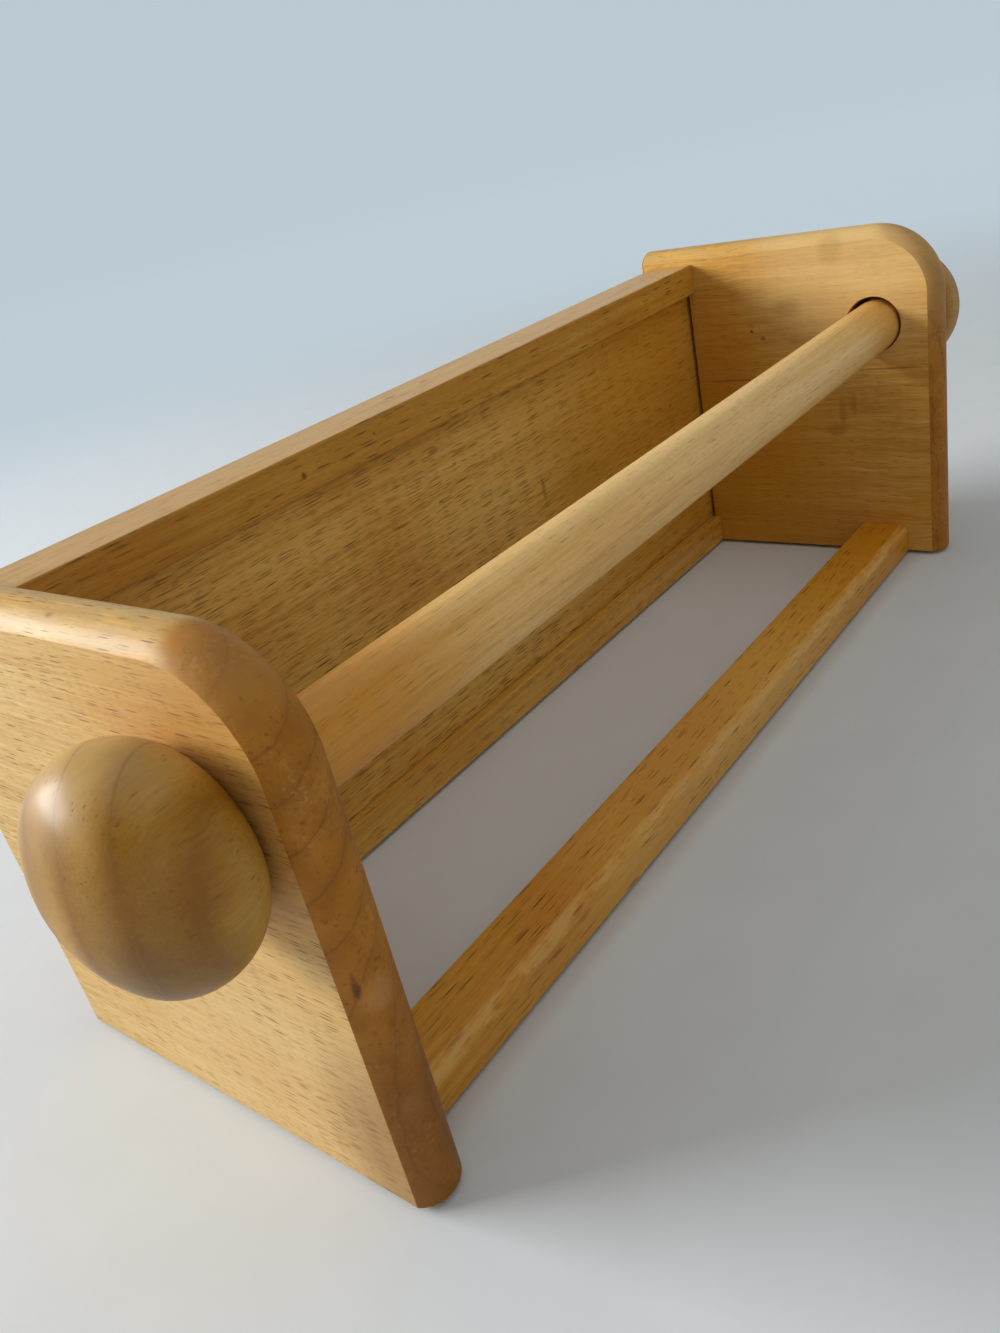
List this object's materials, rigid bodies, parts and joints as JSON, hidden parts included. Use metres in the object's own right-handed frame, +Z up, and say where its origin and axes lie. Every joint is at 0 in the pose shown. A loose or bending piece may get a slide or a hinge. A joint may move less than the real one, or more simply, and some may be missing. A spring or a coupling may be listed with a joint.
{
  "type": "wall paper towel holder",
  "caption": "Wooden wall rack for a paper towel roll: side panels, rails, back panel and a turning rod with turned knobs, one of which pulls off so the rod draws out.",
  "frame": {"origin": "middle of the base that the holder stands on, under the centre of its box", "axes": "+X along the rod, +Y towards the wall, +Z up"},
  "size_m": [0.3818, 0.115, 0.121],
  "materials": {
    "side_wood": "satin lacquer, honey coloured, grain along the depth",
    "rail_wood": "satin lacquer, honey coloured, grain along the rail",
    "front_rail_wood": "satin lacquer, amber, paler along its worn front edge",
    "panel_wood": "satin lacquer, tan with dark grain streaks",
    "rod_wood": "satin lacquer, pale tan, grain along the rod",
    "knob_wood": "semi-gloss lacquer, olive tan, turned",
    "dowel_wood": "bare wood",
    "plate_steel": "zinc-plated"
  },
  "bodies": {
    "holder_frame": {"left_side_panel": "side_wood", "right_side_panel": "side_wood", "top_rail": "rail_wood", "bottom_rail": "rail_wood", "front_rail": "front_rail_wood", "back_panel": "panel_wood", "top_rail_dowels": "dowel_wood", "bottom_rail_dowels": "dowel_wood", "front_rail_dowels": "dowel_wood", "left_keyhole_plate": "plate_steel", "right_keyhole_plate": "plate_steel", "keyhole_plate_screws": "plate_steel"},
    "pull_off_knob": {"left_knob": "knob_wood"},
    "rod_and_knob": {"roller_rod": "rod_wood", "right_knob": "knob_wood"}
  },
  "joints": [
    {"name": "roller_spin", "type": "hinge", "parent": "holder_frame", "child": "pull_off_knob", "pos_m": [-0.1631, -0.0342, 0.0867], "axis": [1, 0, 0], "continuous": true},
    {"name": "rod_withdraw", "type": "slide", "parent": "pull_off_knob", "child": "rod_and_knob", "axis": [1, 0, 0], "range_m": [0, 0.345]}
  ]
}
